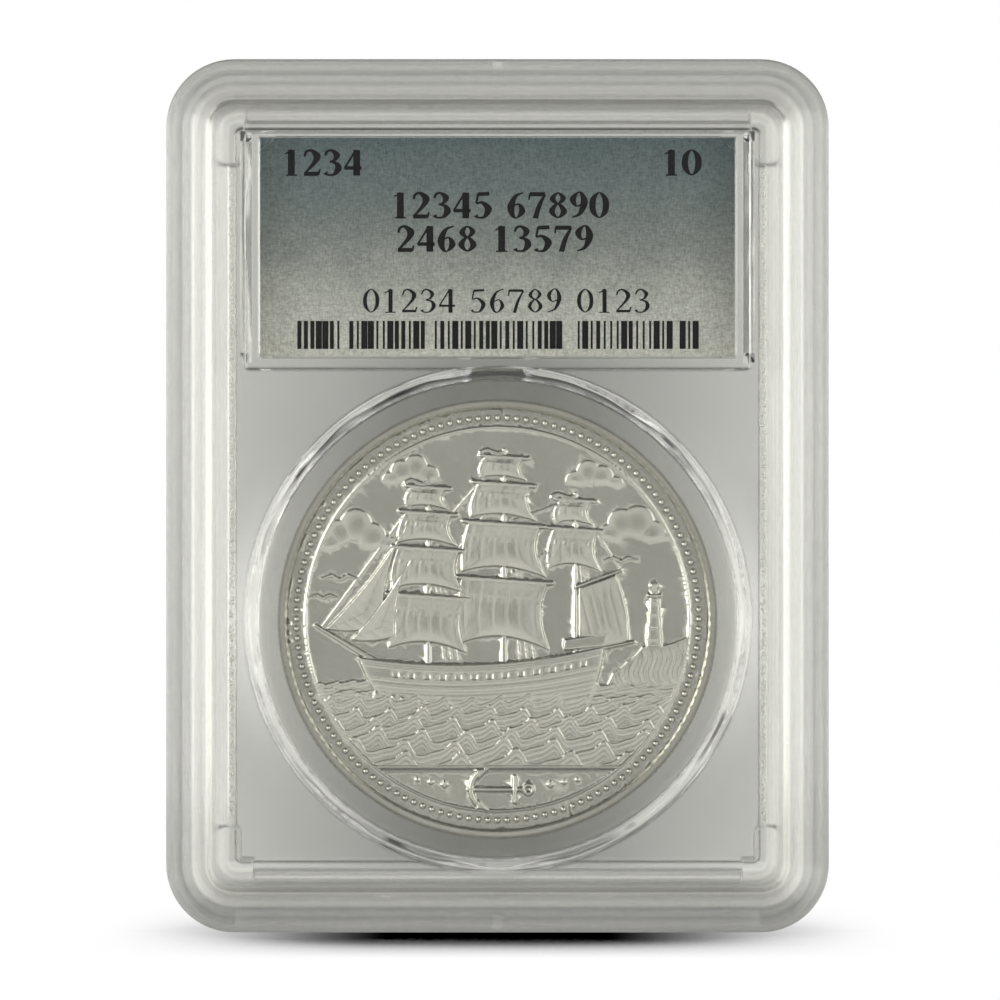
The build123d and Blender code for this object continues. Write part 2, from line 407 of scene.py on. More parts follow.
def squareSail(height, x, z, sail):
    turned = z - sail["lean"] * (x - sail["mast"])
    v = np.clip((turned - sail["foot"]) / (sail["head"] - sail["foot"]), 0, 1)
    half = sail["footHalf"] + (sail["headHalf"] - sail["footHalf"]) * v
    half = half - 0.05 * sail["footHalf"] * 4 * v * (1 - v)
    u = (x - sail["mast"] + 0.45 * np.sin(math.pi * v)) / half
    tall = sail["head"] - sail["foot"]
    foot = sail["foot"] + 0.16 * tall * (1 - u ** 2)
    depth = np.minimum(half * (1 - np.abs(u)), np.minimum(turned - foot, sail["head"] - turned))
    lift = np.clip((turned - foot) / (sail["head"] - foot), 0, 1)
    lee = np.clip(u - 0.35 * (1 - u ** 2), -1, 1)  # the wind pushes the belly towards the bow
    belly = np.clip(1 - lee ** 2, 0, 1) ** 0.75 * np.sin(math.pi * lift ** 0.8) ** 0.6
    top = sail["base"] + sail["belly"] * belly
    cloth = np.abs((u * sail["cloths"] / 2 + 0.5 * sail["cloths"]) % 1 - 0.5) * half * 2 / sail["cloths"]
    top += groove(cloth, 0.09, 0.022)
    for corner in (-1, 1):  # creases that run out of the two lower corners
        cx, cz = sail["mast"] + corner * sail["footHalf"], sail["foot"]
        reach = np.hypot(x - cx, turned - cz)
        angle = np.arctan2(turned - cz, (x - cx) * -corner)
        top += 0.035 * np.cos(angle * 11) * np.exp(-reach / (0.32 * tall)) * np.clip(reach / 0.4, 0, 1)
    band = turned - (sail["head"] - 0.26 * tall)
    top += 0.02 * np.exp(-(band / 0.1) ** 2)
    points = np.abs((u * sail["cloths"]) % 1 - 0.5) * half / sail["cloths"]
    top += 0.025 * np.exp(-(points / 0.06) ** 2) * (np.abs(band + 0.22) < 0.2) * (tall > 2.5)
    top += 0.02 * np.exp(-((depth - 0.1) / 0.07) ** 2)
    height = lay(height, depth, top, 0.07, 0.2)
    arm = sail["headHalf"] + 0.45
    ends = [(sail["mast"] + s * arm, sail["head"] + 0.1 + s * arm * sail["lean"]) for s in (-1, 1)]
    yard = barDepth(x, z, ends[0], ends[1], 0.17)
    return lay(height, yard, sail["base"] + 0.09, 0.08, 0.17)


def clothSail(height, x, z, corners, bends, base, belly, seamAngle):
    line = bentOutline(corners, bends)
    depth = insideDepth(x, z, line)
    widest = depth.max()
    top = base + belly * np.clip(depth / widest, 0, 1) ** 0.6
    along = x * math.cos(seamAngle) + z * math.sin(seamAngle)
    top += groove(np.abs(along % 0.85 - 0.425), 0.08, 0.022)
    top += 0.02 * np.exp(-((depth - 0.1) / 0.07) ** 2)
    return lay(height, depth, top, 0.07, 0.2)


def cloudBank(height, x, z, puffs, base, level):
    dome = np.zeros(x.shape)  # the puffs melt into one bank with a flat underside
    for px, pz, pr in puffs:
        depth = pr - np.hypot(x - px, z - pz)
        puff = 0.17 * np.sqrt(np.clip(depth * (2 * pr - depth), 0, None)) / 1.7
        dome = np.maximum(dome, base * (depth > 0) + puff)
    dome *= np.clip((z - level - 0.12 * np.sin(x * 2.1)) / 0.5, 0, 1) ** 0.5
    return np.maximum(height, dome)


def seaRow(height, x, z, row):
    turn = 2 * math.pi * (x / row["long"] + row["shift"])
    ridge = 0.5 + 0.5 * np.cos(turn - 0.75 * np.cos(turn))  # each crest leans over to one side
    crest = row["level"] + row["lift"] * (ridge ** 1.6 - 0.4) + 0.22 * np.sin(x * 0.41 + row["shift"] * 9)
    under = crest - z
    top = row["base"] + 0.12 * np.exp(-np.clip(under, 0, 9) / 0.45) * (0.45 + 0.55 * ridge)
    top += 0.02 * np.cos(2 * math.pi * under / row["lines"]) * np.exp(-np.clip(under, 0, 9) / 1.3)
    return lay(height, np.minimum(under, 3), top, 0.08, 0.16)


# the ship coin's parts, in mm from the coin's centre
clouds = [    # level of the flat underside, then each puff's place and radius
    (6.4, [(-15.6, 6.9, 1.1), (-14.6, 8.0, 1.2), (-13.1, 8.7, 1.5), (-11.6, 7.6, 1.3), (-10.2, 6.7, 1.0)]),
    (12.6, [(-9.9, 12.8, 0.8), (-8.9, 13.7, 1.0), (-7.6, 14.1, 1.1), (-6.3, 13.3, 0.9)]),
    (7.2, [(10.4, 7.7, 1.1), (11.5, 8.9, 1.3), (13.0, 9.0, 1.5), (14.4, 7.9, 1.2), (15.6, 7.2, 0.8)]),
    (12.3, [(7.2, 12.8, 0.9), (8.4, 13.6, 1.1), (9.7, 13.2, 1.0), (10.9, 12.4, 0.8)])]
masts = [(-6.4, 12.9, 0.24), (0.6, 15.7, 0.27), (7.2, 11.6, 0.21)]    # place, tip and half width
stays = [((-6.4, 12.6), (-16.2, -0.7)), ((0.6, 15.2), (-6.4, 7.2)), ((0.6, 12.0), (-6.4, 2.8)),
         ((7.2, 11.2), (0.6, 8.8)), ((7.2, 7.8), (0.6, 3.8)), ((7.2, 11.2), (11.6, 4.2))]
squareSails = [    # mast, head, foot, half width at head and foot, base and count of cloths, rear mast first
    (7.2, 10.9, 8.7, 1.45, 1.85, 0.11, 4), (7.2, 8.2, 4.5, 2.05, 2.5, 0.13, 5),
    (0.6, 14.9, 12.9, 1.75, 2.2, 0.14, 4), (0.6, 12.4, 9.2, 2.4, 3.1, 0.16, 5),
    (0.6, 8.7, 4.1, 3.3, 3.95, 0.18, 6), (0.6, 3.5, -2.6, 4.0, 4.2, 0.2, 6),
    (-6.4, 12.1, 10.2, 1.6, 2.0, 0.15, 4), (-6.4, 9.7, 6.9, 2.15, 2.75, 0.17, 5),
    (-6.4, 6.4, 2.6, 2.85, 3.4, 0.19, 6), (-6.4, 2.0, -2.9, 3.45, 3.6, 0.21, 6)]
gulls = [(-14.6, 3.6, 1.0), (-16.1, 1.9, 0.75), (11.4, 5.3, 0.9)]    # place and size


def headland(h, x, z):
    land = bentOutline([(9.6, -6.6), (18.2, -6.6), (17.6, -1.6), (15.9, -2.3), (13.4, -2.5), (12.0, -3.9),
                        (10.6, -5.0)], [0, 0, 0.06, 0.08, 0.12, 0.1, 0.15])
    depth = insideDepth(x, z, land)
    crags = 0.03 * np.sin(x * 7 + 1.5 * np.sin(z * 2.2)) * np.clip(depth, 0, 1)
    h = lay(h, depth, 0.09 + 0.05 * np.clip(depth, 0, 1) + crags, 0.05)
    tower = insideDepth(x, z, [(13.75, -2.6), (15.25, -2.6), (14.9, 2.0), (14.1, 2.0)])
    bands = groove(np.abs((z + 2.6) % 1.15 - 0.57), 0.08, 0.035)
    h = lay(h, tower, 0.17 + 0.05 * (1 - ((x - 14.5) / 0.75) ** 2) + bands, 0.08, 0.2)
    gallery = insideDepth(x, z, [(13.85, 2.0), (15.15, 2.0), (15.15, 2.3), (13.85, 2.3)])
    h = lay(h, gallery, 0.24, 0.05, 0.1)
    lantern = insideDepth(x, z, [(14.2, 2.3), (14.8, 2.3), (14.8, 3.0), (14.2, 3.0)])
    h = lay(h, lantern, 0.18, 0.05, 0.12)
    return lay(h, 0.42 - np.hypot(x - 14.5, (z - 3.0) * 1.1) - 9 * (z < 2.95), 0.23, 0.08, 0.2)


def farSea(h, x, z):
    for i in range(3):
        h = seaRow(h, x, z, {"level": -5.9 - 0.55 * i, "long": 1.5 + 0.35 * i, "lift": 0.22,
                             "shift": 0.37 * i, "base": 0.07 + 0.015 * i, "lines": 0.4})
    return h


def rigging(h, x, z):
    for mast, tip, wide in masts:
        for shroud in (1.5, 2.2, 2.9):
            h = lay(h, barDepth(x, z, (mast, tip - 2.2), (mast + shroud, -3.8), 0.055), h + 0.07, 0.03, 0.06)
        h = lay(h, barDepth(x, z, (mast, -5), (mast, tip), wide, wide * 0.45), 0.17, 0.08, 0.2)
    for start, end in stays:
        h = lay(h, barDepth(x, z, start, end, 0.055), 0.1, 0.03, 0.06)
    return lay(h, barDepth(x, z, (-11.3, -3.9), (-16.8, -0.6), 0.26, 0.12), 0.2, 0.1, 0.2)


def allSails(h, x, z):
    for mast, top, foot, topHalf, footHalf, base, cloths in squareSails:
        h = squareSail(h, x, z, {"mast": mast, "head": top, "foot": foot, "headHalf": topHalf, "lean": -0.07,
                                 "footHalf": footHalf, "base": base - 0.04, "belly": 0.22, "cloths": cloths})
    gaffSail = [(7.5, -3.0), (12.1, -2.0), (10.9, 4.1), (7.5, 2.9)]
    h = clothSail(h, x, z, gaffSail, [-0.1, -0.12, 0.03, 0], 0.13, 0.19, 0.25)
    for start, end in (((7.3, 3.0), (11.4, 4.5)), ((7.3, -3.2), (12.6, -2.1))):
        h = lay(h, barDepth(x, z, start, end, 0.15, 0.1), 0.27, 0.08, 0.14)
    for base, corners in ((0.15, [(-8.5, 8.6), (-15.9, -0.9), (-10.7, -0.6)]),
                          (0.2, [(-8.1, 5.6), (-13.6, -1.9), (-9.5, -1.6)])):
        h = clothSail(h, x, z, corners, [0.07, -0.14, 0.12], base, 0.18, 0.9)
    for mast, tip, wide in masts:  # streamers at the mast heads
        wave = z - tip + 0.25 - 0.16 * np.sin((x - mast) * 3.0)
        across = 0.24 * (1 - 0.3 * (mast - x) / 2.3) - np.abs(wave)
        h = lay(h, np.minimum(np.minimum(x - mast + 2.3, mast - x), across), 0.14, 0.05, 0.12)
    return h


def shipHull(h, x, z):
    hull = bentOutline([(-10.2, -8.2), (-12.9, -3.5), (9.9, -2.5), (8.4, -8.2)], [0.1, -0.10, 0.06, 0])
    t = np.clip((x + 12.9) / 22.8, 0, 1)
    deck = -3.5 * (1 - t) ** 2 + 2 * t * (1 - t) * (-3.0 - 2.28) + -2.5 * t ** 2
    drop = deck - z
    flank = np.clip(np.minimum(x + 12.9, 9.9 - x) / 3.4, 0, 1)
    swell = np.sin(np.clip((drop + 0.8) / 5, 0, 1) * math.pi)
    top = 0.2 + 0.13 * swell * np.sqrt(1 - (1 - flank) ** 2)
    for level, wide, lift in ((0.12, 0.1, 0.05), (0.62, 0.08, 0.035), (1.75, 0.08, 0.035), (2.3, 0.08, 0.03)):
        top += lift * np.exp(-((drop - level) / wide) ** 2)
    top += groove(np.abs((drop - 2.6) % 0.42 - 0.21), 0.05, 0.012) * (drop > 2.5)
    port = np.minimum(0.3 - np.abs((x % 1.45) - 0.725), 0.28 - np.abs(drop - 1.18))
    inPorts = (port > 0) & (x > -10.6) & (x < 8.2)
    top = np.where(inPorts, top - 0.07 * shoulder(port, 0.1), top)
    h = lay(h, insideDepth(x, z, hull), top, 0.12, 0.3)
    sternCastle = insideDepth(x, z, [(6.0, -2.9), (9.9, -2.5), (10.3, -1.3), (6.2, -1.9)])
    return lay(h, np.minimum(sternCastle, 3), 0.3, 0.08, 0.2)


def nearSea(h, x, z):
    for i in range(7):  # the bow wave
        foam = (0.62 - 0.055 * i) - np.hypot(x + 10.9 - 0.75 * i, (z + 7.1 + 0.12 * i) * 1.15)
        h = lay(h, foam, 0.3 + 0.03 * np.sin(x * 9 + z * 6), 0.12, 0.45)
    for i in range(6):
        h = seaRow(h, x, z, {"level": -7.5 - 1.1 * i, "long": 2.6 + 0.5 * i, "lift": 0.75 + 0.14 * i,
                             "shift": 0.31 * i * i, "base": 0.12 + 0.025 * i, "lines": 0.42 + 0.02 * i})
    return h


def anchorPanel(h, x, z):
    panel = -13.7 - z
    h = np.where(panel > 0, 0.0, h)
    h = lay(h, 0.13 - np.abs(panel), 0.2, 0.08, 0.13)
    h = lay(h, 0.06 - np.abs(panel - 0.34), 0.08, 0.03, 0.06)
    middle = -15.75
    h = lay(h, barDepth(x, z, (-2.6, middle), (2.3, middle), 0.25, 0.18), 0.22, 0.14, 0.25)
    h = lay(h, barDepth(x, z, (1.6, middle - 1.15), (1.6, middle + 1.15), 0.19), 0.26, 0.1, 0.19)
    h = lay(h, 0.17 - np.abs(np.hypot(x - 2.85, z - middle) - 0.42), 0.2, 0.1, 0.16)
    arms = 0.24 - np.abs(np.hypot(x + 0.55, z - middle) - 1.9) - 9 * (x > -1.6)
    h = lay(h, arms, 0.22, 0.14, 0.24)
    for side in (-1, 1):
        fluke = [(-0.75, middle + side * 1.95), (-2.05, middle + side * 1.85), (-1.75, middle + side * 0.95)]
        h = lay(h, insideDepth(x, z, fluke), 0.26, 0.12, 0.3)
        for j in range(3):
            spark = 0.42 - 0.07 * j - np.abs(x - side * (4.9 + 1.25 * j)) - np.abs(z + 15.3 - 0.22 * j)
            h = lay(h, spark, 0.16, 0.14, 0.4)
    return h


def flyingGulls(h, x, z):
    for gx, gz, size in gulls:
        for side in (-1, 1):
            knee = (gx + side * 0.75 * size, gz + 0.42 * size)
            tip = (gx + side * 1.75 * size, gz + 0.12 * size)
            h = lay(h, barDepth(x, z, (gx, gz), knee, 0.14 * size, 0.16 * size), 0.12, 0.05, 0.14)
            h = lay(h, barDepth(x, z, knee, tip, 0.16 * size, 0.03), 0.12, 0.05, 0.14)
    return h


def innerRing(h, r):
    h = np.where(r > 17.75, 0.0, h)
    return lay(h, 0.1 - np.abs(r - 17.75), 0.1, 0.05, 0.1)


def shipRelief(spec):
    x, z = gridPlaces(spec)
    h = np.zeros(x.shape)
    for level, puffs in clouds:
        h = cloudBank(h, x, z, puffs, 0.03, level)
    for layer in (headland, farSea, rigging, allSails, shipHull, nearSea, anchorPanel, flyingGulls):
        h = layer(h, x, z)
    return x, z, innerRing(h, np.hypot(x, z))


def compassRelief(spec):
    x, z = gridPlaces(spec)
    h = np.zeros(x.shape)
    r, angle = np.hypot(x, z), np.arctan2(z, x)
    waves = 22  # a band of running waves round the edge
    phase = (angle * waves / (2 * math.pi)) % 1
    crest = 14.9 + 1.9 * np.exp(-((phase - 0.62 - 0.05 * (r - 15)) / 0.24) ** 2)
    ripple = 0.12 + 0.02 * np.cos(2 * math.pi * (crest - r) / 0.5)
    h = lay(h, np.minimum(crest - r, r - 14.2), ripple, 0.08, 0.2)
    rope = 0.55 - np.abs(r - 13.3)
    strands = np.abs((angle * 96 / (2 * math.pi) + (r - 13.3) * 0.75) % 1 - 0.5)
    h = lay(h, rope, 0.24 - 0.09 * np.clip(1 - strands / 0.28, 0, 1), 0.16, 0.55)
    h = lay(h, 0.12 - np.abs(r - 11.9), 0.12, 0.07, 0.12)
    ticks = np.minimum(0.09 - np.abs((angle * 72 / (2 * math.pi) + 0.5) % 1 - 0.5) * r * 2 * math.pi / 72,
                       0.4 - np.abs(r - 11.3))
    h = lay(h, ticks, 0.1, 0.05, 0.09)
    for count, start, reach, wide, base in ((16, 0.5, 7.2, 0.75, 0.1), (8, 0.5, 8.9, 1.15, 0.14),
                                            (4, 0.0, 10.9, 1.75, 0.18)):
        for i in range(count):
            turn = 2 * math.pi * (i + start) / count
            along = x * math.cos(turn) + z * math.sin(turn)
            side = -x * math.sin(turn) + z * math.cos(turn)
            half = np.where(along < wide * 1.3, along / 1.3, wide * (reach - along) / (reach - wide * 1.3))
            depth = np.minimum(half - np.abs(side), along)
            facet = 0.17 * (1 - np.abs(side) / np.maximum(half, 0.01)) - 0.05 * (side > 0)
            h = lay(h, depth, base + facet, 0.03, 0.1)
    h = lay(h, 1.5 - r, 0.3 + 0.05 * np.cos(r * 6.0), 0.16, 0.4)
    return x, z, innerRing(h, r)


coinLook = {
    "recess": 0.42 * mm,       # field below the rim's top
    "beads": 132,
    "beadRing": 18.62 * mm,
    "beadSize": 0.27 * mm,
    "colour": (0.76, 0.75, 0.685),
    "rough": 0.25,
    "recessShadeReach": 0.55 * mm,  # painted shade with some toning: the recesses beside the relief are darker
    "brightRim": (19.5 * mm, 19.8 * mm),  # the ring beside the rim doesn't darken it with that painted shade
    "recessShadeTone": 0.25,
    "triangles": 190000,
}


def makeSilver(spec):
    material, tree, shader = newMaterial("mintSilver")
    place, (x, y, z) = objectPlace(tree)
    dull, bright = (tuple(share * part for part in spec["colour"]) for share in (0.95, 1.05))
    tone = ramp(tree, noise(tree, place, 130.0, 4.0), [(0.3, dull), (0.7, bright)])
    # painted shade, with some toning, in the recesses beside the relief
    hollow = addNode(tree, "ShaderNodeAmbientOcclusion", {"Distance": spec["recessShadeReach"]}, samples=6)
    depth = spread(tree, hollow.outputs["AO"], 0.45, 0.92, spec["recessShadeTone"], 1.0)
    radius = coinRadius(tree, x, z)
    depth = maths(tree, "MAXIMUM", depth, spread(tree, radius, *spec["brightRim"], 0.0, 1.0))
    spin = maths(tree, "ARCTAN2", minus(tree, z, coinMiddle), x)
    flow = addNode(tree, "ShaderNodeCombineXYZ", {0: times(tree, spin, 60.0), 1: times(tree, radius, 400.0)})
    lines = noise(tree, flow.outputs[0], 3.0, 3.0)  # the metal's flow lines run outwards from the middle
    grain = bump(tree, noise(tree, place, 9000.0, 2.0), 0.001 * mm, 0.3)
    feed(tree, shader, {
        "Base Color": vectorMaths(tree, "SCALE", {0: tone, "Scale": depth}), "Metallic": 1.0,
        "Roughness": spread(tree, lines, 0.2, 0.8, spec["rough"] - 0.015, spec["rough"] + 0.015),
        "Normal": bump(tree, lines, 0.0006 * mm, 0.4, grain)})
    return material


def strikeRelief(name, heights, spec, grid, face, material):
    x, z, h = heights  # face is -1 for the front and 1 for the rear
    field = (coinLow.y if face < 0 else coinHigh.y) - face * spec["recess"]
    count = x.shape[0]
    cell = np.arange(count * count).reshape(count, count)
    quads = np.stack([cell[:-1, :-1], cell[:-1, 1:], cell[1:, 1:], cell[1:, :-1]], -1).reshape(-1, 4)
    radius = np.hypot(x, z).ravel()
    quads = quads[(radius[quads] < grid["reach"]).all(axis=1)]
    used, quads = np.unique(quads, return_inverse=True)
    quads = quads.reshape(-1, 4)
    places = np.stack([x.ravel()[used] * mm * -face, field + face * (grid["lift"] + h.ravel()[used]) * mm,
                       z.ravel()[used] * mm + coinMiddle], -1)
    mesh = bpy.data.meshes.new(name)
    mesh.from_pydata(places, [], quads.tolist())
    work = bmesh.new()
    work.from_mesh(mesh)
    rim = [edge for edge in work.edges if edge.is_boundary]
    skirt = bmesh.ops.extrude_edge_only(work, edges=rim)["geom"]
    for vertex in (part for part in skirt if isinstance(part, bmesh.types.BMVert)):
        vertex.co.y = field - face * grid["sink"] * mm
    bmesh.ops.holes_fill(work, edges=[edge for edge in work.edges if edge.is_boundary])
    bmesh.ops.recalc_face_normals(work, faces=work.faces)
    work.to_mesh(mesh)
    work.free()
    mesh.materials.append(material)
    piece = addObject(name, mesh)
    thin = piece.modifiers.new("thin", "DECIMATE")
    thin.ratio = min(1.0, spec["triangles"] / (2.05 * len(quads)))
    settle(piece)


# ---- node groups that repeat a small shape
def newGroup(name, inputs):
    group = bpy.data.node_groups.new(name, "GeometryNodeTree")
    group.interface.new_socket(name="Geometry", in_out="OUTPUT", socket_type="NodeSocketGeometry")
    for label, kind, value in inputs + [("Material", "Material", None)]:
        socket = group.interface.new_socket(name=label, in_out="INPUT", socket_type="NodeSocket" + kind)
        if value is not None:
            socket.default_value = value
    return group, addNode(group, "NodeGroupInput").outputs


def finishGroup(group, given, instances):
    solid = addNode(group, "GeometryNodeRealizeInstances", {0: instances})
    feeds = {"Geometry": solid.outputs[0], "Material": given["Material"]}
    painted = addNode(group, "GeometryNodeSetMaterial", feeds)
    addNode(group, "NodeGroupOutput", {0: painted.outputs[0]})
    return group


def randomVector(group, low, high, seed):
    feeds = {0: low, 1: high, "Seed": seed}
    return addNode(group, "FunctionNodeRandomValue", feeds, data_type="FLOAT_VECTOR").outputs[0]


def grownPiece(name, group, values, smooth=True):
    piece = addObject(name, bpy.data.meshes.new(name))
    modifier = piece.modifiers.new("grow", "NODES")
    modifier.node_group = group
    for item in group.interface.items_tree:
        if item.item_type == "SOCKET" and item.in_out == "INPUT" and item.name in values:
            modifier[item.identifier] = values[item.name]
    settle(piece, smooth)


def beadGroup():
    group, given = newGroup("beadRing", [
        ("Count", "Int", 100), ("Ring", "Float", 0.01), ("Size", "Float", 0.001), ("Place", "Vector", None)])
    ring = addNode(group, "GeometryNodeMeshCircle", {"Vertices": given["Count"], "Radius": given["Ring"]})
    bead = addNode(group, "GeometryNodeMeshIcoSphere", {"Subdivisions": 3, "Radius": given["Size"]})
    seat = addNode(group, "GeometryNodeInstanceOnPoints", {
        "Points": ring.outputs[0], "Instance": bead.outputs[0]})
    move = addNode(group, "GeometryNodeTransform", {
        "Geometry": seat.outputs[0], "Translation": given["Place"], "Rotation": (math.pi / 2, 0, 0)})
    return finishGroup(group, given, move.outputs[0])


silver = makeSilver(coinLook)
dress("coin", silver)
strikeRelief("coinFrontRelief", shipRelief(reliefGrid), coinLook, reliefGrid, -1, silver)
strikeRelief("coinRearRelief", compassRelief(reliefGrid), coinLook, reliefGrid, 1, silver)
beads = beadGroup()
for side, word in ((-1, "Front"), (1, "Rear")):
    field = side * (coinHigh.y - coinLook["recess"])
    grownPiece("coin" + word + "Beads", beads, {"Count": coinLook["beads"], "Ring": coinLook["beadRing"],
               "Size": coinLook["beadSize"], "Place": (0, field, coinMiddle), "Material": silver})
print("coin struck")


# ---- label card
labelLook = {
    "tones": [(0.02, (0.54, 0.545, 0.495)), (0.22, (0.44, 0.45, 0.415)), (0.5, (0.225, 0.245, 0.235)),
              (0.75, (0.148, 0.178, 0.18)), (0.97, (0.105, 0.140, 0.148))],    # from the foot up
    "ink": (0.006, 0.006, 0.0065),
    "inkDepth": 0.012 * mm,
    "rearCard": (0.70, 0.71, 0.69),
}


def makeLabelCard(spec):
    material, tree, shader = newMaterial("labelCard")
    place, (x, y, z) = objectPlace(tree)
    rise = spread(tree, z, labelLow.z, labelHigh.z, 0.0, 1.0)
    wander = times(tree, minus(tree, noise(tree, place, 260.0, 4.0), 0.5), 0.22)
    tone = ramp(tree, plus(tree, rise, wander), spec["tones"])
    along, across = (noise(tree, objectPlace(tree, scale)[0], 2000.0, 3.0, 0.7)
                     for scale in ((1.0, 1.0, 3.2), (3.2, 1.0, 1.0)))
    threads = plus(tree, along, across)
    speckle = spread(tree, threads, 0.7, 1.3, 0.66, 1.36)
    # painted shadow of the pocket walls: the card is darker towards its left and right edges
    edge = maths(tree, "DIVIDE", minus(tree, labelHigh.x, absolute(tree, x)), 4.0 * mm)
    shade = ramp(tree, edge, [(0.0, 0.72), (0.35, 0.84), (1.0, 1.0)])
    toned = blend(tree, 1.0, tone, shade, blend_type="MULTIPLY")
    printed = vectorMaths(tree, "SCALE", {0: toned, "Scale": speckle})
    onRear = maths(tree, "GREATER_THAN", y, 0.0)  # the card's rear is plain
    feed(tree, shader, {
        "Base Color": blend(tree, onRear, printed, (*spec["rearCard"], 1)), "Roughness": 0.75,
        "Specular IOR Level": 0.15, "Normal": bump(tree, threads, 0.01 * mm, 0.35)})
    return material


def makeInk(spec):
    material, tree, shader = newMaterial("printInk")
    worn = noise(tree, objectPlace(tree)[0], 5200.0, 2.0)
    pale = tuple(1.8 * part for part in spec["ink"])
    feed(tree, shader, {
        "Base Color": ramp(tree, worn, [(0.35, spec["ink"]), (0.75, pale)]),
        "Roughness": spread(tree, worn, 0.3, 0.7, 0.5, 0.65), "Specular IOR Level": 0.1})
    return material


# each numeral is drawn by pen strokes: x, height and pen width in a box one unit tall
numerals = {
    "1": [[(0.09, 0.83, 0.04), (0.18, 0.88, 0.05), (0.27, 0.98, 0.06)],
          [(0.26, 0.97, 0.15), (0.26, 0.02, 0.15)], [(0.11, 0.02, 0.045), (0.41, 0.02, 0.045)]],
    "2": [[(0.06, 0.72, 0.05), (0.11, 0.9, 0.07), (0.24, 0.95, 0.09), (0.39, 0.76, 0.16), (0.33, 0.5, 0.11),
           (0.06, 0.07, 0.04)],
          [(0.05, 0.07, 0.13), (0.43, 0.07, 0.13)], [(0.43, 0.03, 0.05), (0.47, 0.24, 0.04)]],
    "3": [[(0.06, 0.76, 0.05), (0.12, 0.92, 0.07), (0.24, 0.95, 0.08), (0.37, 0.79, 0.14),
           (0.31, 0.59, 0.08), (0.18, 0.53, 0.04)],
          [(0.18, 0.53, 0.04), (0.36, 0.46, 0.1), (0.41, 0.26, 0.15), (0.3, 0.05, 0.08), (0.13, 0.03, 0.06),
           (0.06, 0.12, 0.11)]],
    "4": [[(0.33, 0.98, 0.05), (0.03, 0.29, 0.05)], [(0.02, 0.29, 0.11), (0.48, 0.29, 0.11)],
          [(0.35, 0.97, 0.15), (0.35, 0.0, 0.15)]],
    "5": [[(0.13, 0.91, 0.12), (0.43, 0.93, 0.12)], [(0.13, 0.94, 0.05), (0.08, 0.56, 0.05)],
          [(0.08, 0.55, 0.05), (0.24, 0.59, 0.09), (0.4, 0.36, 0.16), (0.3, 0.06, 0.09), (0.13, 0.03, 0.06),
           (0.06, 0.11, 0.11)]],
    "6": [[(0.43, 0.97, 0.04), (0.22, 0.83, 0.09), (0.1, 0.42, 0.16), (0.16, 0.08, 0.09), (0.27, 0.03, 0.05),
           (0.4, 0.27, 0.14), (0.31, 0.53, 0.06), (0.12, 0.44, 0.04)]],
    "7": [[(0.05, 0.91, 0.13), (0.46, 0.91, 0.13)], [(0.05, 0.94, 0.04), (0.03, 0.7, 0.04)],
          [(0.46, 0.9, 0.05), (0.31, 0.5, 0.1), (0.2, 0.0, 0.12)]],
    "8": [[(0.25, 0.55, 0.06), (0.11, 0.74, 0.13), (0.25, 0.96, 0.05), (0.39, 0.76, 0.12),
           (0.25, 0.55, 0.06)],
          [(0.25, 0.55, 0.06), (0.09, 0.27, 0.13), (0.25, 0.03, 0.05), (0.41, 0.26, 0.14),
           (0.25, 0.55, 0.06)]],
    "0": [[(0.25, 0.97, 0.045), (0.09, 0.72, 0.13), (0.09, 0.28, 0.13), (0.25, 0.03, 0.045),
           (0.41, 0.28, 0.13), (0.41, 0.72, 0.13), (0.25, 0.97, 0.045)]],
}
numerals["9"] = [[(0.5 - x, 1 - z, w) for x, z, w in stroke] for stroke in numerals["6"]]
numeralLook = {"step": 0.55, "stretch": 1.42, "space": 0.5, "finest": 0.045, "sink": 0.002 * mm}


def penLine(stroke, steps=7):
    places = np.array(stroke, float)  # a smooth line through the pen's places
    if len(places) < 3:
        return places
    closed = np.allclose(places[0, :2], places[-1, :2])
    before = places[-2] if closed else 2 * places[0] - places[1]
    after = places[1] if closed else 2 * places[-1] - places[-2]
    run = np.vstack([before, places, after])
    line = []
    for a, b, c, d in zip(run, run[1:], run[2:], run[3:]):
        square, cube = 2 * a - 5 * b + 4 * c - d, 3 * b - a - 3 * c + d
        for t in np.arange(steps) / steps:
            line.append(0.5 * (2 * b + (c - a) * t + square * t ** 2 + cube * t ** 3))
    return np.array(line + [places[-1]])


def strokeSolid(line, weight, pen, foot, tall, first):
    places, faces = [], []
    heading = np.gradient(line[:, :2], axis=0)
    heading /= np.linalg.norm(heading, axis=1, keepdims=True) + 1e-9
    width = np.maximum(line[:, 2:] * weight, numeralLook["finest"])
    side = np.stack([-heading[:, 1], heading[:, 0]], -1) * width / 2
    back, front = labelLow.y + numeralLook["sink"], labelLow.y - labelLook["inkDepth"]
    for centre, offset in zip(line[:, :2], side):
        for y in (front, back):
            for edge in (centre + offset, centre - offset):
                places.append((pen + edge[0] * numeralLook["stretch"] * tall, y, foot + edge[1] * tall))
    for i in range(len(line) - 1):
        a, b = first + 4 * i, first + 4 * i + 4
        faces += [(a, b, b + 1, a + 1), (a + 2, a + 3, b + 3, b + 2)]
        faces += [(a, a + 2, b + 2, b), (a + 1, b + 1, b + 3, a + 3)]
    last = first + 4 * (len(line) - 1)
    faces += [(first, first + 1, first + 3, first + 2), (last, last + 2, last + 3, last + 1)]
    return places, faces


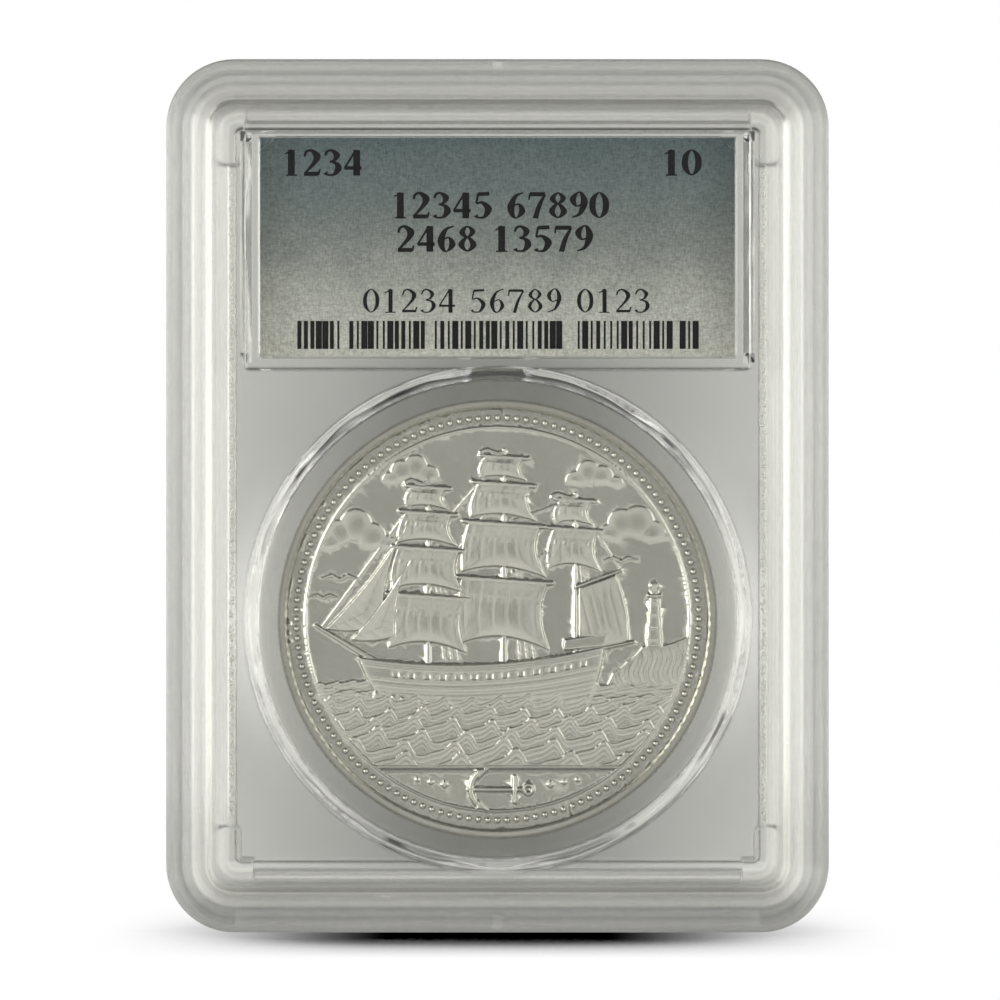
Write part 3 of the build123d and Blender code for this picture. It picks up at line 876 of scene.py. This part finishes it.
def printNumerals(name, text, pen, foot, tall, weight, material):
    places, faces = [], []
    for mark in text:
        for stroke in numerals.get(mark, []):
            more = strokeSolid(penLine(stroke), weight, pen, foot, tall, len(places))
            places += more[0]
            faces += more[1]
        wide = numeralLook["space"] if mark == " " else numeralLook["step"] * numeralLook["stretch"]
        pen += tall * wide
    mesh = bpy.data.meshes.new(name)
    mesh.from_pydata(places, [], faces)
    work = bmesh.new()
    work.from_mesh(mesh)
    bmesh.ops.recalc_face_normals(work, faces=work.faces)
    work.to_mesh(mesh)
    work.free()
    mesh.materials.append(material)
    settle(addObject(name, mesh), smooth=False)


def barGroup():
    group, given = newGroup("codeBars", [
        ("Count", "Int", 60), ("Span", "Float", 0.04), ("Height", "Float", 0.003), ("Thin", "Float", 0.0002),
        ("Depth", "Float", 0.00001), ("Seed", "Int", 3), ("Place", "Vector", None)])
    halfSpan = times(group, given["Span"], 0.5)
    start = addNode(group, "ShaderNodeCombineXYZ", {0: times(group, halfSpan, -1.0)})
    end = addNode(group, "ShaderNodeCombineXYZ", {0: halfSpan})
    row = addNode(group, "GeometryNodeMeshLine", {
        "Count": given["Count"], "Start Location": start.outputs[0],
        "Offset": end.outputs[0]}, mode="END_POINTS")
    width = addNode(group, "FunctionNodeRandomValue", {4: 1, 5: 3, "Seed": given["Seed"]}, data_type="INT")
    keep = addNode(group, "FunctionNodeRandomValue", {
        "Probability": 0.86, "Seed": plus(group, given["Seed"], 5.0)}, data_type="BOOLEAN")
    size = addNode(group, "ShaderNodeCombineXYZ", {
        0: times(group, width.outputs[2], given["Thin"]), 1: given["Depth"], 2: given["Height"]})
    bar = addNode(group, "GeometryNodeMeshCube", {"Size": (1, 1, 1)})
    seat = addNode(group, "GeometryNodeInstanceOnPoints", {
        "Points": row.outputs[0], "Instance": bar.outputs[0], "Selection": keep.outputs[3],
        "Scale": size.outputs[0]})
    move = addNode(group, "GeometryNodeTransform", {
        "Geometry": seat.outputs[0], "Translation": given["Place"]})
    return finishGroup(group, given, move.outputs[0])


printLook = {
    "corner": ("1234", -20.0, 69.95, 2.45, 1.22),    # text, left edge, foot, height in mm and pen weight
    "value": ("10", 15.2, 69.95, 2.45, 1.22),
    "firstLine": ("12345 67890", -9.9, 66.0, 2.45, 1.22),
    "secondLine": ("2468 13579", -9.4, 62.9, 2.45, 1.22),
    "longNumber": ("01234 56789 0123", -12.5, 57.25, 2.25, 0.8),
}
barLook = {"count": 62, "span": 36.7 * mm, "height": 2.6 * mm, "thin": 0.19 * mm, "middle": 55.2 * mm,
           "seed": 4}

dress("label", makeLabelCard(labelLook))
ink = makeInk(labelLook)
for name, (text, left, foot, tall, weight) in printLook.items():
    printNumerals("print" + name[0].upper() + name[1:], text, left * mm, foot * mm, tall * mm, weight, ink)
grownPiece("printBars", barGroup(), {
    "Count": barLook["count"], "Span": barLook["span"], "Height": barLook["height"], "Thin": barLook["thin"],
    "Depth": 2 * labelLook["inkDepth"], "Seed": barLook["seed"],
    "Place": (0, labelLow.y, barLook["middle"]), "Material": ink}, smooth=False)
print("label printed")


# ---- foil on the label's rear
foilLook = {"pitch": 0.5 * mm, "tones": [(0.0, (0.72, 0.74, 0.78)), (0.3, (0.70, 0.78, 0.76)),
                                         (0.6, (0.80, 0.74, 0.70)), (1.0, (0.72, 0.74, 0.78))]}


def makeFoil(spec):
    material, tree, shader = newMaterial("foilFilm")
    place, (x, y, z) = objectPlace(tree)
    rise = minus(tree, z, labelMiddle)
    weave, cross = (maths(tree, "SINE", times(tree, slant, 2 * math.pi / spec["pitch"]))
                    for slant in (plus(tree, x, rise), minus(tree, x, rise)))
    lines = times(tree, weave, cross)
    hue = maths(tree, "FRACT", plus(tree, times(tree, x, 60.0), times(tree, rise, 90.0)))
    feed(tree, shader, {
        "Base Color": ramp(tree, hue, spec["tones"]), "Metallic": 1.0,
        "Roughness": spread(tree, lines, -1.0, 1.0, 0.16, 0.34),
        "Normal": bump(tree, lines, 0.01 * mm, 0.5)})
    return material


dress("security_foil", makeFoil(foilLook))
print("foil dressed")


# ---- weld flash along the inner walls
flashLook = {
    "inset": 5.95 * mm,
    "wide": 0.45 * mm,
    "grains": 900,
    "grain": 0.085 * mm,
    "lowest": 10.2 * mm,
    "highest": 70.3 * mm,
    "front": -1.9 * mm,
    "back": -0.2 * mm,
    "tint": (0.9, 0.9, 0.87),
    "lampTint": (0.9, 0.9, 0.9),
}


def flashGroup():
    group, given = newGroup("flashGrains", [
        ("Count", "Int", 500), ("Low", "Vector", None), ("High", "Vector", None), ("Grain", "Float", 0.0001),
        ("Seed", "Int", 1)])
    row = addNode(group, "GeometryNodeMeshLine", {"Count": given["Count"]})
    spot = randomVector(group, given["Low"], given["High"], given["Seed"])
    scatter = addNode(group, "GeometryNodeSetPosition", {"Geometry": row.outputs[0], "Position": spot})
    grain = addNode(group, "GeometryNodeMeshIcoSphere", {"Subdivisions": 1, "Radius": given["Grain"]})
    size = randomVector(group, (0.5, 0.6, 0.6), (1.3, 2.2, 2.6), plus(group, given["Seed"], 7.0))
    turn = randomVector(group, (0, 0, 0), (6.28, 6.28, 6.28), plus(group, given["Seed"], 9.0))
    seat = addNode(group, "GeometryNodeInstanceOnPoints", {
        "Points": scatter.outputs[0], "Instance": grain.outputs[0], "Scale": size, "Rotation": turn})
    return finishGroup(group, given, seat.outputs[0])


def makeFlash(spec):
    material, tree, shader = newMaterial("weldFlash")
    rough = spread(tree, noise(tree, objectPlace(tree)[0], 4000.0), 0.3, 0.7, 0.05, 0.35)
    feed(tree, shader, {"Base Color": (*spec["tint"], 1), "IOR": caseLook["ior"], "Transmission Weight": 0.6,
                        "Roughness": rough})
    letLampsIn(tree, shader, spec["lampTint"])
    return material


flash, grains = makeFlash(flashLook), flashGroup()
for side, word in ((-1, "Left"), (1, "Right")):
    near = side * (caseHigh.x - flashLook["inset"])
    half = flashLook["wide"] / 2
    grownPiece("weldFlash" + word, grains, {
        "Count": flashLook["grains"], "Low": (near - half, flashLook["front"], flashLook["lowest"]),
        "High": (near + half, flashLook["back"], flashLook["highest"]), "Grain": flashLook["grain"],
        "Seed": 11 + side, "Material": flash}, smooth=False)
print("weld flash set")


# ---- floor, surroundings, lamps and camera
floorLook = {"side": 0.3, "front": -0.14, "rear": 0.3, "bounce": 0.8, "shadowReach": 40 * mm,
             "dark": 0.75, "light": 0.96, "fade": (10 * mm, 38 * mm), "through": 0.4}


def makeFloor(spec):
    material, tree, shader = newMaterial("paleFloor")
    tree.nodes.remove(shader)
    near = addNode(tree, "ShaderNodeAmbientOcclusion", {"Distance": spec["shadowReach"]}, samples=8)
    place, (x, y, z) = objectPlace(tree)
    shade = spread(tree, near.outputs["AO"], spec["dark"], spec["light"], 1.0, 0.0)
    across = spread(tree, absolute(tree, x), *spec["fade"], 1.0, 0.0, interpolation_type="SMOOTHSTEP")
    shade = minus(tree, 1.0, times(tree, shade, across))  # the shadow fades out sideways
    ray = addNode(tree, "ShaderNodeLightPath").outputs
    least = times(tree, minus(tree, 1.0, ray["Is Camera Ray"]), spec["through"])
    glow = addNode(tree, "ShaderNodeEmission", {"Strength": maths(tree, "MAXIMUM", shade, least)})
    seen = plus(tree, ray["Is Camera Ray"], ray["Is Transmission Ray"])
    seen = maths(tree, "ADD", seen, ray["Is Glossy Ray"], clamp=True)
    matt = addNode(tree, "ShaderNodeBsdfDiffuse", {"Color": (spec["bounce"],) * 3 + (1,)})
    showMix(tree, "Material Output", seen, matt.outputs[0], glow.outputs[0])
    return material


side, front, rear = (floorLook[key] for key in ("side", "front", "rear"))
floorMesh = bpy.data.meshes.new("floor")
floorMesh.from_pydata([(-side, front, 0), (side, front, 0), (side, rear, 0), (-side, rear, 0)], [],
                      [(0, 1, 2, 3)])
floorMesh.materials.append(makeFloor(floorLook))
addObject("floor", floorMesh)

worldLook = {
    "backdrop": 1.0,
    "room": [(0.0, 0.10), (0.07, 0.12), (0.16, 0.95), (0.36, 0.9), (0.52, 0.3), (0.7, 0.5), (1.0, 0.8)],
    "panels": (0.50, 0.78, 0.0, 1.7),    # bright panels far out on both sides
    "rightFront": 0.35,                  # the front of the right one is dimmer
    "behindDims": (0.07, 0.29),          # the room dims upwards and downwards
    "frontDims": (0.30, 0.75),
    "overhead": 0.12,
}


def makeWorld(spec):
    scene.world = bpy.data.worlds.new("studio")
    scene.world.use_nodes = True
    tree = scene.world.node_tree
    place = addNode(tree, "ShaderNodeTexCoord").outputs["Generated"]
    x, y, z = addNode(tree, "ShaderNodeSeparateXYZ", {0: place}).outputs
    level = maths(tree, "MAXIMUM", spread(tree, y, 0.0, 0.45, 0.0, spec["backdrop"]),
                  ramp(tree, hypotenuse(tree, x, z), spec["room"]))
    inFront = maths(tree, "LESS_THAN", y, 0.0)
    rightFront = times(tree, inFront, maths(tree, "GREATER_THAN", x, 0.0))
    panels = spread(tree, absolute(tree, x), *spec["panels"])
    panels = times(tree, panels, spread(tree, rightFront, 0.0, 1.0, 1.0, spec["rightFront"]))
    level = maths(tree, "MAXIMUM", level, panels)
    height = absolute(tree, z)
    behindDim, frontDim = (spread(tree, height, *spec[key], 1.0, spec["overhead"])
                           for key in ("behindDims", "frontDims"))
    dimming = maths(tree, "MAXIMUM", behindDim, times(tree, inFront, frontDim))
    room = feed(tree, tree.nodes["Background"], {
        "Color": (1, 1, 1, 1), "Strength": times(tree, level, dimming)})
    white = addNode(tree, "ShaderNodeBackground", {"Color": (1, 1, 1, 1)})
    toCamera = addNode(tree, "ShaderNodeLightPath").outputs["Is Camera Ray"]
    showMix(tree, "World Output", toCamera, room.outputs[0], white.outputs[0])


makeWorld(worldLook)

lampLook = {
    "sideLeft": ((-0.45, -0.35, 0.15), (0.40, 0.55), 1.9),    # place, size and watts
    "sideRight": ((0.45, -0.35, 0.20), (0.40, 0.55), 1.2),
    "rimLeft": ((-0.35, 0.30, 0.06), (0.25, 0.25), 0.12),
    "rimRight": ((0.35, 0.30, 0.06), (0.25, 0.25), 0.12),
}
aim = Vector((0, 0, caseMiddle))
for name, (place, size, watts) in lampLook.items():
    lamp = bpy.data.lights.new(name, "AREA")
    lamp.shape, lamp.energy = "RECTANGLE", watts
    lamp.size, lamp.size_y = size
    holder = addObject(name, lamp)
    holder.location = place
    holder.rotation_euler = (aim - Vector(place)).to_track_quat("-Z", "Y").to_euler()

viewLook = {"distance": 0.7, "frameWidth": 92.17 * mm, "middle": (0.23 * mm, 39.91 * mm)}
camera = bpy.data.cameras.new("camera")
camera.lens = camera.sensor_width * viewLook["distance"] / viewLook["frameWidth"]
camera.clip_start = 0.01
tripod = addObject("camera", camera)
tripod.location = (viewLook["middle"][0], caseLow.y - viewLook["distance"], viewLook["middle"][1])
tripod.rotation_euler = (math.radians(90), 0, 0)
scene.camera = tripod
scene.view_settings.view_transform = "Standard"
print("floor, lamps and camera set")
